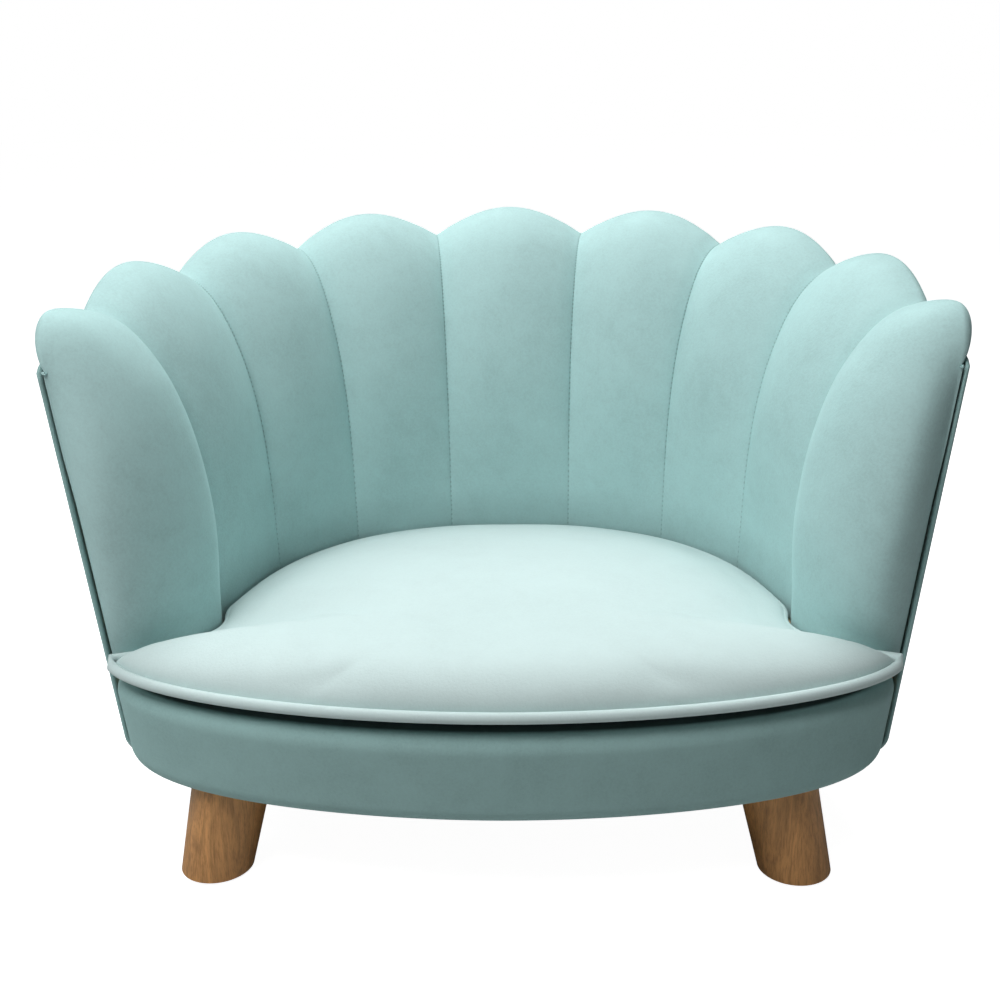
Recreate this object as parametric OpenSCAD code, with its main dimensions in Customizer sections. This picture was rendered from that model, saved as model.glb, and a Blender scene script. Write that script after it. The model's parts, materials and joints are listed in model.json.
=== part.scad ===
// Small sofa for a dog: a flared, scalloped back of nine padded petals round a loose seat cushion,
// on an upholstered wooden base with four splayed wooden legs.
// +Z is up, the front faces -Y, and the origin is on the floor under the middle of the whole outline.

/* [Plan] */
// Width over the covers at the height of the seat piping
belt_w = 560; // [520:1:600]
// From the widest line back to the rear of the outline, at the seat piping
back_reach = 339; // [320:1:360]
// From the widest line forward to the front of the outline, at the seat piping
front_reach = 106; // [96:1:116]
// Squareness of the rear half of the outline, where 2 is an ellipse
back_square = 2.39; // [2.2:0.01:2.6]
// Squareness of the front half of the outline
front_square = 1.9; // [1.8:0.01:2.1]

/* [Heights] */
// Floor to the underside of the upholstered base
base_z = 73; // [64:0.5:88]
// Height of the upholstered base
base_h = 67.5; // [60:0.5:76]
// Seat piping above the top of the base, at the front
belt_lift = 13; // [11:0.5:15]
// Floor to the valleys of the scalloped top, at the back
back_h = 400.5; // [382:0.5:422]
// Floor to the valleys of the scalloped top, at the fronts of the wings
side_h = 374.5; // [362:0.5:382]
// Rise of each scallop above its valleys
scallop_h = 21; // [12:1:26]

/* [Back] */
// Outward lean of the wall at the sides, over the height of the back
lean_side = 28; // [21:0.5:33]
// Outward lean of the wall at the rear, over the height of the back
lean_back = 41; // [30:1:48]
// Width of a petal along the top edge
petal_w = 134; // [128:1:138]
// Padding inside the seat line, from the outside of the wall to the face of the pads
pad_t = 60; // [54:1:66]
// Straight lower part of the pads above the base, before they round over to the top
pad_straight = 56; // [44:1:64]
// Swell of a petal between its seams, halfway round the curve to the top
petal_swell = 10; // [0:0.5:13]
// Length over which a wing's pad thins out to its front edge
wing_round = 70; // [60:1:76]
// Radius of the top front corner of each wing
wing_corner = 34; // [26:1:40]
// Thickness of the velvet of the petals with its wadding
velvet_t = 1.6; // [1.2:0.1:2]
// Thickness of the padded outer cover
outer_t = 3; // [2:0.5:4]
// Thickness of the bent plywood panel
panel_t = 6; // [5:0.5:8]

/* [Base] */
// Thickness of the plywood deck under the cushion
deck_t = 9; // [8:0.5:12]
// Thickness of the bottom board that carries the legs
bottom_t = 12; // [10:0.5:15]
// Thickness of the curved rails between the boards
rail_t = 12; // [10:1:13]
// Thickness of the foam behind the velvet of the front band
band_foam_t = 8; // [6:0.5:10]
// Radius of the soft edges of the front band
band_r = 13; // [11:0.5:15]
// Width of the velvet turned under the bottom board
hem_w = 30; // [26:1:36]
// Thickness of the dust cover under the base
dust_t = 0.8; // [0.6:0.1:1.2]

/* [Cushion] */
// Height of the cushion's crown above the deck
cushion_h = 37; // [33:1:42]
// Diameter of the seat piping
welt_d = 9; // [7:0.5:10]
// Thickness of the cushion's velvet cover
case_t = 1.6; // [1.2:0.1:2]
// From the side of the outline in to each end of the zip under the cushion
zip_in = 130; // [115:5:160]

/* [Legs] */
// Diameter of a leg at its top
leg_top_d = 54; // [48:1:56]
// Diameter of a leg at its foot
leg_foot_d = 50; // [42:1:52]
// Splay of the legs from upright, in degrees
leg_splay = 13; // [8:0.5:15]
// From the side of the outline in to the axis of a front leg, at the underside of the base
front_leg_in = 91; // [82:1:100]
// From the front of the outline back to the front legs, at the underside of the base
front_leg_back = 79; // [70:1:86]
// From the side of the outline in to the axis of a rear leg, at the underside of the base
rear_leg_in = 130; // [120:1:140]
// From the rear of the outline forward to the rear legs, at the underside of the base
rear_leg_back = 114; // [104:1:124]
// Diameter of the felt pads under the legs
pad_d = 38; // [30:1:40]
// Thickness of the felt pads
pad_h = 3; // [2:0.5:5]

/* [Hardware] */
// Thread of the leg bolts
bolt_d = 8; // [6:1:8]
// Length of a leg bolt in its leg
bolt_in_leg = 35; // [25:1:42]
// Width of the flange of a tee nut
tee_flange_d = 22; // [18:1:26]
// Shank of the wood screws
screw_d = 4; // [3:0.5:4.5]
// Length of the wood screws
screw_len = 22; // [18:1:24]

/* [Hidden] */

// Colours
velvet = "#9fccca";
velvet_seat = "#d3eaea";
velvet_base = "#7fa3a1";
plywood = "#d9b98a";
foam_colour = "#efe6c4";
leg_wood = "#a5804f";
steel = "#b4b8bb";
felt = "#4b4b4b";
cloth = "#26292a";

// Clearance between pieces that are fitted to each other, and how far a cut runs past what it cuts
fit_gap = 0.3;
overrun = 1;

// Fineness: steps across a petal, up the curve of a pad, along the front, and round a hole
across_n = 6;
curve_n = 7;
front_n = 32;
$fn = 32;

// Levels above the floor
deck_z = base_z + base_h;
belt_z = deck_z + belt_lift;
deck_top = deck_z - outer_t;
deck_under = deck_top - deck_t;
bottom_under = base_z + outer_t;
bottom_top = bottom_under + bottom_t;
pad_foot = deck_top + fit_gap;
pad_spring = deck_z + pad_straight;

// Depths inside the outside of the wall: the panel's outer face, what fits inside it, and the front rail
panel_in = outer_t + fit_gap;
core_in = panel_in + panel_t + fit_gap;
foam_in = outer_t + fit_gap;
front_in = foam_in + band_foam_t + fit_gap;
// How far the panel's edge stays inside the edge of the padding
panel_inset = 6;

// The widest line lies where the whole outline is centred on the origin
belt_a = belt_w / 2;
rear_lean = lean_back * (back_h + scallop_h - belt_z) / (back_h - belt_z);
belt_y = (front_reach - back_reach - rear_lean) / 2;

// Shape powers: 2 is an ellipse
pad_power = 2.1;
wing_power = 2;
scallop_power = 1.3;
swell_power = 0.65;
// The petals at the fronts of the wings rise less than the others
wing_scallop_share = 0.65;
top_fall_power = 0.82;
seam_fall_power = 1.3;
// The front's lean in the middle as a share of the lean of the sides
front_lean_share = 1.02;

// The rear half of the seat line as a superellipse, its outward normal, and the wall that leans out from it.
// t is the angle from the rear, in degrees: -90 is the left wing's front and 90 the right one's.
function curve_power(v, p) = sign(v) * pow(abs(v), p);
function back_line(t) = [belt_a * curve_power(sin(t), 2 / back_square),
                         belt_y + back_reach * pow(abs(cos(t)), 2 / back_square)];
function back_normal(t) =
    let (v = [curve_power(sin(t), 2 - 2 / back_square) / belt_a,
              pow(abs(cos(t)), 2 - 2 / back_square) / back_reach])
    v / norm(v);
function lean(t) = lean_side + (lean_back - lean_side) * pow(cos(t), 2);
function wall_out(t, z) = lean(t) * (z - belt_z) / (back_h - belt_z);
function on_back(t, out, z) =
    let (p = back_line(t) + out * back_normal(t))
    [p.x, p.y, z];

// The front half, where t is the angle from the front. Its wall leans as the sides do, and more in the middle.
lean_front = lean_side * front_lean_share;
function front_out(t, z) =
    (lean_side + (lean_front - lean_side) * pow(cos(t), 2)) * (z - belt_z) / (back_h - belt_z);
function front_line(t, out) = [(belt_a + out) * curve_power(sin(t), 2 / front_square),
                               belt_y - (front_reach + out) * pow(abs(cos(t)), 2 / front_square)];
function on_front(t, out, z) =
    let (p = front_line(t, out))
    [p.x, p.y, z];

// Length along the top edge, so that the petals can be equally wide there. s is 0 at the rear.
arc_step = 1.5;
arc_table = [for (t = 0, s = 0; t <= 90;
                  s = s + norm(on_back(t + arc_step, lean(t + arc_step), 0) - on_back(t, lean(t), 0)),
                  t = t + arc_step) [s, t]];
arc_len = arc_table[len(arc_table) - 1][0];
function t_at(s) = sign(s) * lookup(abs(s), arc_table);

// Nine petals, numbered from the left, meet at eight seams. A petal's rounding is 0 at its seams and 1 between,
// and the lower the power, the fuller it is.
petals = 9;
function seam(k) = k == 0 ? -arc_len : k == petals ? arc_len : (k - petals / 2) * petal_w;
function rounding(s, power) =
    let (x = abs(s) / petal_w + 0.5)
    pow(max(0, 1 - pow(2 * (x - floor(x)) - 1, 2)), power);
function petal_steps(k, inset = 0) =
    let (first = k == 1 ? seam(0) + inset : seam(k - 1),
         last = k == petals ? seam(petals) - inset : seam(k))
    [for (i = [0 : across_n]) first + (last - first) * (1 - cos(180 * i / across_n)) / 2];
function all_steps(inset = 0) =
    [for (k = [1 : petals]) let (row = petal_steps(k, inset))
        for (i = [k == 1 ? 0 : 1 : across_n]) row[i]];
rear_angles = [for (s = all_steps()) t_at(s)];
rear_n = len(rear_angles);

// Height of the scalloped top along the back, falling round a corner at the front of each wing
function valley_h(t) = back_h - (back_h - side_h) * pow(1 - cos(t), top_fall_power);
function scallop(s) = scallop_h * rounding(s, scallop_power) * (abs(s) > seam(petals - 1) ? wing_scallop_share : 1);
function top_h(s) =
    let (g = max(0, 1 - (arc_len - abs(s)) / wing_corner))
    valley_h(t_at(s)) + scallop(s) - wing_corner * (1 - sqrt(1 - g * g));

// Share of the full padding near the front edge of a wing, for a surface d inside the face of the pad
function wing_share(s, d) =
    let (q = min(1, max(0, (arc_len - abs(s) - d) / (wing_round - d))))
    pow(1 - pow(1 - q, wing_power), 1 / wing_power);

// A point on the pads' face, or d inside it: up the straight part for a rise from 0 to 1, then round the curve
// to the top for an angle from 0 to 90. The swell is fullest where the scale below brings it to 1.
swell_scale = 3 * sqrt(3) / 2;
function pad_face(s, rise, angle, d) =
    let (t = t_at(s),
         top = top_h(s) - d,
         lip = wall_out(t, top) - panel_in,
         reach = lip + pad_t - d,
         z = angle > 0 ? pad_spring + (top - pad_spring) * pow(sin(angle), 2 / pad_power)
                       : pad_foot + (pad_spring - pad_foot) * rise,
         swell = petal_swell * rounding(s, swell_power) * swell_scale * pow(sin(angle), 2) * cos(angle),
         full = lip - reach * pow(cos(angle), 2 / pad_power) - swell,
         wall = wall_out(t, z) - panel_in)
    on_back(t, wall - (wall - full) * wing_share(s, d), z);

// Triangles between two rows of points, and a solid between two grids of points. Seen from outside,
// the first grid's rows run from left to right and each row runs upwards. Both grids are split alike, so that
// one solid nests in another.
function strip(p, q) = [for (k = [0 : len(p) - 2]) each [[p[k], p[k + 1], q[k + 1]], [p[k], q[k + 1], q[k]]]];
function turned(faces) = [for (f = faces) [f[2], f[1], f[0]]];
function joined(rows) = [for (row = rows) each row];
module slab(a, b) {
    n = len(a);
    m = len(a[0]);
    row = function (side, i) [for (j = [0 : m - 1]) side * n * m + i * m + j];
    column = function (side, j) [for (i = [0 : n - 1]) side * n * m + i * m + j];
    polyhedron(points = concat(joined(a), joined(b)), convexity = 6, faces = concat(
        [for (i = [0 : n - 2]) each strip(row(0, i), row(0, i + 1))],
        [for (i = [0 : n - 2]) each turned(strip(row(1, i), row(1, i + 1)))],
        strip(column(0, 0), column(1, 0)),
        strip(column(1, m - 1), column(0, m - 1)),
        strip(row(1, 0), row(0, 0)),
        strip(row(0, n - 1), row(1, n - 1))));
}

// A solid of closed rings, each listed anticlockwise from above, from the highest ring down, with a point at
// the top and one at the bottom
module lofted(top, rings, bottom) {
    n = len(rings[0]);
    m = len(rings);
    ring = function (j) [for (i = [0 : n]) j * n + i % n];
    polyhedron(points = concat(joined(rings), [top, bottom]), convexity = 6, faces = concat(
        [for (i = [0 : n - 1]) [m * n, (i + 1) % n, i]],
        [for (j = [0 : m - 2]) each strip(ring(j), ring(j + 1))],
        [for (i = [0 : n - 1]) [m * n + 1, (m - 1) * n + i, (m - 1) * n + (i + 1) % n]]));
}

// A closed tube of six sides or more along a closed path that is listed anticlockwise from above
module tube(path, d, sides) {
    n = len(path);
    rows = [for (i = [0 : n - 1])
        let (dir = path[(i + 1) % n] - path[(i + n - 1) % n], out = [dir.y, -dir.x, 0] / norm([dir.x, dir.y]))
        [for (k = [0 : sides - 1]) path[i] + d / 2 * (out * cos(360 * k / sides) + [0, 0, sin(360 * k / sides)])]];
    ring = function (i) [for (k = [0 : sides]) (i % n) * sides + k % sides];
    polyhedron(points = joined(rows), convexity = 8, faces = [for (i = [0 : n - 1]) each strip(ring(i), ring(i + 1))]);
}

// The base: the outline of a board at one level, its edge a depth inside the wall behind and before
front_angles = [for (i = [0 : front_n]) 180 * i / front_n - 90];
function outline(depth_back, depth_front, z) = concat(
    [for (i = [1 : rear_n]) let (t = rear_angles[rear_n - i], p = on_back(t, wall_out(t, z) - depth_back, z)) [p.x, p.y]],
    [for (t = front_angles) front_line(t, front_out(t, z) - depth_front)]);
module board(depth_back, depth_front, z, thickness) {
    translate([0, 0, z]) linear_extrude(thickness) polygon(outline(depth_back, depth_front, z));
}

// Legs: the axis of each meets the underside of the base at its place, and leans out to the nearest corner
front_leg_x = belt_a - front_leg_in;
front_leg_y = front_reach - front_leg_back;
rear_leg_x = belt_a - rear_leg_in;
rear_leg_y = back_reach - rear_leg_back;
leg_places = [[-front_leg_x, belt_y - front_leg_y], [front_leg_x, belt_y - front_leg_y],
              [-rear_leg_x, belt_y + rear_leg_y], [rear_leg_x, belt_y + rear_leg_y]];
// Share of each leg's splay that points forwards or back, against 1 sideways
leg_turn_share = 0.35;
leg_top_z = base_z - dust_t;
bolt_clear = 0.5;
module at_legs() {
    for (p = leg_places) translate([p.x, p.y, 0]) children();
}
module bolt_holes() {
    at_legs() translate([0, 0, base_z - overrun - dust_t]) cylinder(d = bolt_d + 2 * bolt_clear, h = base_h);
}
board_in = band_r + 1;
module deck_board() {
    color(plywood) difference() {
        board(core_in, board_in, deck_under, deck_t);
        deck_screw_places() translate([0, 0, -screw_len]) cylinder(d = screw_d, h = screw_len + overrun);
        deck_screw_places() translate([0, 0, -screw_head_h]) cylinder(d1 = screw_d, d2 = screw_head_d, h = screw_head_h);
    }
}
module bottom_board() {
    color(plywood) difference() {
        board(board_in, board_in, bottom_under, bottom_t);
        at_legs() translate([0, 0, bottom_under - overrun]) cylinder(d = tee_barrel_d, h = bottom_t + 2 * overrun);
    }
}

// Rails between the boards, which follow the outline and its lean
rail_under = bottom_top;
module front_rail() {
    rows = function (depth) [for (t = front_angles)
        [for (z = [rail_under, deck_under]) on_front(t, front_out(t, z) - depth, z)]];
    color(plywood) slab(rows(front_in), rows(front_in + rail_t));
}
function rail_row(t, depth) = [for (z = [rail_under, deck_under]) on_back(t, wall_out(t, z) - depth, z)];
module back_rail() {
    color(plywood) difference() {
        slab([for (t = rear_angles) rail_row(t, core_in + rail_t)], [for (t = rear_angles) rail_row(t, core_in)]);
        panel_screw_places() cylinder(d = screw_d, h = screw_len);
    }
}

// Battens from the front rail to the back rail, a gap inside the tee nuts of the rear legs
batten_w = 30;
batten_gap = 29;
batten_x = rear_leg_x - tee_flange_d / 2 - batten_gap - batten_w / 2;
rail_inside = [for (t = [0 : 2 : 70]) let (p = rail_row(t, core_in + rail_t + fit_gap)[0]) [p.x, p.y]];
function front_inside(x) =
    let (out = front_out(0, rail_under) - front_in - rail_t - fit_gap)
    belt_y - (front_reach + out) * pow(1 - pow(x / (belt_a + out), front_square), 1 / front_square);
module cross_battens() {
    far = batten_x + batten_w / 2;
    front = front_inside(far);
    back = lookup(far, rail_inside);
    color("#e2c79c") difference() {
        for (side = [-1, 1]) translate([side * batten_x - batten_w / 2, front, rail_under])
            cube([batten_w, back - front, deck_under - rail_under]);
        deck_screw_places() translate([0, 0, -screw_len]) cylinder(d = screw_d, h = screw_len + overrun);
    }
}

// Wood screws: along the battens down through the deck, and round the back through the panel into the rail
screw_head_d = screw_d * 2;
screw_head_h = screw_d * 0.6;
deck_screw_n = 4;
module deck_screw_places() {
    first = belt_y - front_leg_y;
    step = (rear_leg_y + front_leg_y) / (deck_screw_n - 1);
    for (side = [-1, 1], i = [0 : deck_screw_n - 1]) translate([side * batten_x, first + i * step, deck_top]) children();
}
module wood_screw() {
    translate([0, 0, -screw_len]) cylinder(d1 = screw_d / 4, d2 = screw_d, h = screw_d);
    translate([0, 0, screw_d - screw_len]) cylinder(d = screw_d, h = screw_len - screw_d - screw_head_h);
    translate([0, 0, -screw_head_h]) cylinder(d1 = screw_d, d2 = screw_head_d, h = screw_head_h);
}
module deck_screws() {
    color(steel) deck_screw_places() wood_screw();
}
panel_screw_z = (rail_under + deck_under) / 2;
panel_screw_n = 7;
panel_screw_reach = 75;
// The heads are sunk below the curve of the panel
panel_screw_sink = 1.2;
// Each place has its z axis pointing in along the screw from the top of its head
module panel_screw_places() {
    for (i = [0 : panel_screw_n - 1]) {
        t = panel_screw_reach * (2 * i / (panel_screw_n - 1) - 1);
        p = on_back(t, wall_out(t, panel_screw_z) - panel_in - panel_screw_sink, panel_screw_z);
        n = back_normal(t);
        translate(p) rotate([0, -90, atan2(n.y, n.x)]) children();
    }
}
module panel_screws() {
    color(steel) panel_screw_places() mirror([0, 0, 1]) wood_screw();
}

// The bent panel of the back, with a scalloped top
wall_rises = [0, 0.3, 0.65];
module back_panel() {
    low = base_z + band_r;
    steps = all_steps(velvet_t);
    rows = function (depth) [for (i = [1 : len(steps) - 2])
        let (t = t_at(steps[i]), top = top_h(steps[i]))
        [for (z = concat([for (r = wall_rises) low + (top - low) * r], top - panel_inset))
            on_back(t, wall_out(t, z) - depth, z)]];
    color(plywood) difference() {
        slab(rows(panel_in + panel_t), rows(panel_in));
        panel_screw_places() cylinder(d = screw_d, h = screw_len);
        panel_screw_places() cylinder(d1 = screw_head_d, d2 = screw_d, h = screw_head_h);
        panel_screw_places() translate([0, 0, -bottom_t]) cylinder(d = screw_head_d, h = bottom_t);
    }
}

// The velvet outer cover of the back, with its hem turned under the base. Each profile is a list of
// [depth, height] pairs from the end of the hem round the soft lower edge and up.
hem_angles = [90, 60, 30, 0];
hem_end = band_r + hem_w;
function lower_profile(d) = concat([[hem_end, base_z + d]],
    [for (a = hem_angles) [band_r - (band_r - d) * cos(a), base_z + band_r - (band_r - d) * sin(a)]]);
module outer_cover() {
    low = base_z + band_r;
    rows = function (d) [for (s = all_steps())
        let (t = t_at(s), top = top_h(s))
        [for (p = concat(lower_profile(d), [for (r = [wall_rises[1], wall_rises[2], 1]) [d, low + (top - low) * r]]))
            on_back(t, wall_out(t, p[1]) - p[0], p[1])]];
    color(velvet_base) slab(rows(outer_t), rows(0));
}

// The velvet of the front band, turned over on to the deck and under the base, and the foam behind it
return_w = 34;
function upper_profile(d) = concat(
    [for (i = [0 : 3]) let (a = hem_angles[3 - i]) [band_r - (band_r - d) * cos(a), deck_z - band_r + (band_r - d) * sin(a)]],
    [[band_r + return_w, deck_z - d]]);
module band_cover() {
    rows = function (d) [for (t = front_angles)
        [for (p = concat(lower_profile(d), upper_profile(d))) on_front(t, front_out(t, p[1]) - p[0], p[1])]];
    color(velvet_base) difference() {
        slab(rows(0), rows(outer_t));
        bolt_holes();
    }
}
foam_angles = [60, 30, 0];
module band_foam() {
    r = band_r - foam_in;
    back = foam_in + band_foam_t;
    edge = concat(
        [for (a = foam_angles) [band_r - r * cos(a), base_z + band_r - r * sin(a)]],
        [for (i = [1 : 3]) let (a = foam_angles[3 - i]) [band_r - r * cos(a), deck_z - band_r + r * sin(a)]]);
    rows = function (inner) [for (t = front_angles)
        [for (p = edge) on_front(t, front_out(t, p[1]) - (inner ? back : p[0]), p[1])]];
    color(foam_colour) slab(rows(false), rows(true));
}

// Cloth over the deck, inside the pads and behind the band's velvet, and the dust cover under the base
cloth_t = 1;
module deck_cloth() {
    back = [for (i = [1 : rear_n]) let (p = on_back(rear_angles[rear_n - i], -pad_t - 2 * fit_gap, 0)) [p.x, p.y]];
    front = [for (t = front_angles) front_line(t, front_out(t, deck_top) - band_r - return_w - 2 * fit_gap)];
    color(cloth) translate([0, 0, deck_top]) linear_extrude(cloth_t) polygon(concat(back, front));
}
dust_in = band_r + hem_w / 3;
module dust_cover() {
    color(cloth) difference() {
        board(dust_in, dust_in, leg_top_z, dust_t);
        bolt_holes();
    }
}

// The petals: a foam pad for each, and one velvet cover sewn into nine channels
curve_angles = [for (i = [1 : curve_n]) 90 * i / curve_n];
foam_back = panel_t + fit_gap;
// A row of points moved a little of the way to the row beside it, to part two pads at their seam
seam_share = 0.02;
function nearer(row, beside) = row + (beside - row) * seam_share;
module petal_foam(k) {
    d = velvet_t + fit_gap;
    steps = petal_steps(k, velvet_t);
    first = k == 1 ? 1 : 0;
    last = k == petals ? across_n - 1 : across_n;
    face = [for (i = [first : last]) concat(
        [for (r = [0, 1]) pad_face(steps[i], r, 0, d)],
        [for (j = [0 : curve_n - 2]) pad_face(steps[i], 1, curve_angles[j], d)])];
    back = [for (i = [first : last]) let (t = t_at(steps[i]))
        [for (p = face[i - first]) on_back(t, wall_out(t, p.z) - panel_in - foam_back, p.z)]];
    parted = function (rows) [for (i = [0 : len(rows) - 1])
        i == 0 ? nearer(rows[0], rows[1]) : i == len(rows) - 1 ? nearer(rows[i], rows[i - 1]) : rows[i]];
    color(foam_colour) slab(parted(face), parted(back));
}
module petal_cover() {
    rows = function (d) [for (s = all_steps(d)) concat(
        [for (r = [0, 1]) pad_face(s, r, 0, d)], [for (a = curve_angles) pad_face(s, 1, a, d)])];
    color(velvet) slab(rows(0), rows(velvet_t));
}

// Legs: tapered, splayed, cut level at the top and at the felt pad
tee_barrel_d = bolt_d + 2;
tee_flange_t = 1.5;
module leg(i) {
    p = leg_places[i];
    side = sign(p.x);
    turn = atan2((i < 2 ? -1 : 1) * leg_turn_share, side);
    slant = leg_top_z / cos(leg_splay);
    color(leg_wood) difference() {
        intersection() {
            translate([p.x, p.y, leg_top_z]) rotate([0, 0, turn]) rotate([0, -leg_splay, 0])
                translate([0, 0, -slant - leg_foot_d])
                cylinder(d1 = leg_foot_d - (leg_top_d - leg_foot_d), d2 = leg_top_d + (leg_top_d - leg_foot_d),
                         h = slant + 2 * leg_foot_d, $fn = 64);
            translate([-belt_w, -belt_w, pad_h]) cube([2 * belt_w, 2 * belt_w, leg_top_z - pad_h]);
        }
        translate([p.x, p.y, leg_top_z - bolt_in_leg]) cylinder(d = bolt_d, h = bolt_in_leg + overrun);
    }
}
module front_left_leg() { leg(0); }
module front_right_leg() { leg(1); }
module rear_left_leg() { leg(2); }
module rear_right_leg() { leg(3); }
function foot_centre(i) =
    let (p = leg_places[i], v = [sign(p.x), (i < 2 ? -1 : 1) * leg_turn_share])
    [p.x, p.y] + (leg_top_z - pad_h) * tan(leg_splay) * v / norm(v);
module foot_pads() {
    color(felt) for (i = [0 : 3]) translate(foot_centre(i)) cylinder(d = pad_d, h = pad_h);
}

// Leg bolts stand in the legs and screw up into tee nuts in the bottom board
bolt_h = bolt_in_leg + dust_t + outer_t + bottom_t + tee_flange_t;
module leg_bolts() {
    color(steel) at_legs() translate([0, 0, leg_top_z - bolt_in_leg]) cylinder(d = bolt_d, h = bolt_h);
}
module tee_nuts() {
    color(steel) at_legs() difference() {
        union() {
            translate([0, 0, bottom_under]) cylinder(d = tee_barrel_d, h = bottom_t);
            translate([0, 0, bottom_top]) cylinder(d = tee_flange_d, h = tee_flange_t);
        }
        translate([0, 0, bottom_under - overrun]) cylinder(d = bolt_d, h = bottom_t + tee_flange_t + 2 * overrun);
    }
}

// The loose seat cushion. Its seam follows the front of the base and the feet of the pads, inside a clearance,
// and turns round a small corner at each ear.
seat_gap = 0.8;
seam_in = welt_d + fit_gap;
ear_r = 5;
wing_n = 5;
seat_n = 12;
foot_steps = concat(
    [for (i = [0 : wing_n]) arc_len - wing_round * pow(i / wing_n, 2)],
    [for (i = [1 : seat_n]) (arc_len - wing_round) * (1 - i / seat_n)]);
foot_half = [for (s = foot_steps) let (p = pad_face(s, 0, 0, 0)) [p.x, p.y]];
// A path moved to its left by a distance
function shifted(path, out) = [for (i = [0 : len(path) - 1])
    let (v = path[min(i + 1, len(path) - 1)] - path[max(i - 1, 0)]) path[i] + out * [-v.y, v.x] / norm(v)];
rear_half = [for (p = shifted(foot_half, seat_gap + seam_in)) if (p.x < belt_a - seam_in - ear_r) p];
ear_centre = [belt_a - seam_in - ear_r, belt_y - seat_gap - seam_in - ear_r];
ear_half = [for (a = [0, 30, 60]) ear_centre + ear_r * [cos(a), sin(a)]];
quarter_turn = 90;
front_half = [for (i = [0 : seat_n]) let (p = front_line(quarter_turn * i / seat_n, -seam_in))
    if (p.y < ear_centre.y - ear_r / 2) p];
right_half = concat(front_half, ear_half, rear_half);
seat_line = concat(right_half,
    [for (i = [len(right_half) - 2 : -1 : 1]) [-right_half[i].x, right_half[i].y]]);
line_n = len(seat_line);
// The piping lies just outside the seam
welt_line = [for (i = [0 : line_n - 1])
    let (v = seat_line[(i + 1) % line_n] - seat_line[(i + line_n - 1) % line_n])
    seat_line[i] + (welt_d / 2 + fit_gap) * [v.y, -v.x] / norm(v)];

// Rings inside the seam turn from its outline into an oval round the middle of the crown
seat_centre = [0, belt_y + front_reach / 4];
oval_x = belt_a - pad_t;
oval_front = front_reach + front_reach / 4;
oval_rear = back_reach - pad_t - front_reach / 4;
function oval(v) = 1 / norm([v.x / oval_x, v.y / (v.y < 0 ? oval_front : oval_rear)]);

// The seam drops from the front to the ears, and to the deck along the pads
seam_drop = belt_lift - welt_d / 2 - 2 * fit_gap;
function seam_z(p) = belt_z
    - seam_drop * pow(min(1, max(0, (p.y - belt_y + front_reach) / (2 * front_reach))), seam_fall_power);
function seat_ring(share, z_share, d) = [for (p = seat_line)
    let (v = p - seat_centre, far = norm(v), near = oval(v / far),
         q = seat_centre + v / far * (share * (near + (far - near) * share * share) - d), edge = seam_z(p))
    [q.x, q.y, z_share >= 0 ? edge + (deck_z + cushion_h - d - edge) * z_share
                            : edge - (edge - deck_z - fit_gap - d) * -z_share]];
crown_shares = [[0.3, 0.97], [0.55, 0.88], [0.76, 0.7], [0.9, 0.43], [0.975, 0.16]];
under_shares = [[0.985, -0.45], [0.95, -1]];
module seat_form(d) {
    lofted([seat_centre.x, seat_centre.y, deck_z + cushion_h - d],
        [for (g = concat(crown_shares, [[1, 0]], under_shares)) seat_ring(g[0], g[1], d)],
        [seat_centre.x, seat_centre.y, deck_z + fit_gap + d]);
}
module cushion_case() {
    color(velvet_seat) difference() {
        seat_form(0);
        seat_form(case_t);
        zip_slot(overrun);
    }
}
module cushion_foam() {
    color(foam_colour) difference() {
        seat_form(case_t + fit_gap);
        zip_pocket();
    }
}
module cushion_welt() {
    path = [for (i = [0 : line_n - 1]) [welt_line[i].x, welt_line[i].y, seam_z(seat_line[i])]];
    color(velvet_seat) tube(path, welt_d, 6);
}

// The zip under the cushion, along X: two woven tapes, two coils, stops and a slider round the coils
zip_y = belt_y + back_reach / 2;
zip_len = belt_w - 2 * zip_in;
tape_w = 14;
tape_t = 0.8;
coil_d = 2.4;
coil_gap = 1.4;
slider_len = 11;
slider_w = 9.5;
slider_plate = 0.8;
wedge_w = 0.8;
slot_w = 20;
zip_clear = 0.3;
case_inner = deck_z + fit_gap + case_t;
coil_z = case_inner + tape_t / 2;
module zip_slot(past) {
    translate([-zip_len / 2, zip_y - slot_w / 2, deck_z - past]) cube([zip_len, slot_w, case_inner - deck_z + 2 * past]);
}
module zip_pocket() {
    w = coil_gap + 2 * coil_d + 2 * tape_w + 2 * fit_gap;
    translate([-zip_len / 2 - fit_gap, zip_y - w / 2, deck_z]) cube([zip_len + 2 * fit_gap, w, case_inner - deck_z + coil_d + 2]);
}
module zip_tapes() {
    color(cloth) for (side = [-1, 1])
        translate([-zip_len / 2, zip_y + side * (coil_gap / 2 + coil_d + tape_w / 2) - tape_w / 2, case_inner])
        cube([zip_len, tape_w, tape_t]);
}
module zip_coil() {
    color(cloth) for (side = [-1, 1])
        translate([-zip_len / 2, zip_y + side * (coil_gap + coil_d) / 2, coil_z]) rotate([0, 90, 0])
        cylinder(d = coil_d, h = zip_len);
}
stop_len = 3;
module zip_stops() {
    w = coil_gap + 2 * coil_d;
    color(steel) for (end = [0, 1]) translate([(end - 0.5) * (zip_len - stop_len), zip_y, coil_z - coil_d / 2 - slider_plate])
        translate([-stop_len / 2, -w / 2, 0]) cube([stop_len, w, slider_plate]);
}
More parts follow.
